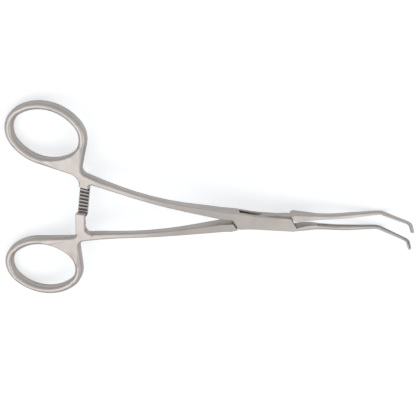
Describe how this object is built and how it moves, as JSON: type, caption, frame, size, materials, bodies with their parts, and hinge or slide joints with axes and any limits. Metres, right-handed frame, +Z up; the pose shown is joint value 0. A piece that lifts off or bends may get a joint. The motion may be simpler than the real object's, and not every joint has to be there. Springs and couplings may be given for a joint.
{
  "type": "cardiovascular clamp",
  "caption": "Ring-handled vascular clamp with ratchet, arched shanks, box lock and angled serrated jaws.",
  "frame": {"origin": "centre of the bounding box at the surface that the clamp lies on", "axes": "+X along the clamp towards the jaw tips, +Y towards the ring of the box half, +Z up"},
  "size_m": [0.1696, 0.0884, 0.0178],
  "materials": {
    "satin_steel": "satin",
    "pin_steel": "satin"
  },
  "bodies": {
    "box_body": {"female_half": "satin_steel", "box_lock_pin": "pin_steel"},
    "tenon_body": {"male_half": "satin_steel"}
  },
  "joints": [
    {"name": "box_lock_pivot", "type": "hinge", "parent": "box_body", "child": "tenon_body", "pos_m": [0.02322, 0, 0.00883], "axis": [0.1102, 0, 0.9939], "range_deg": [-6.4, 34]}
  ]
}
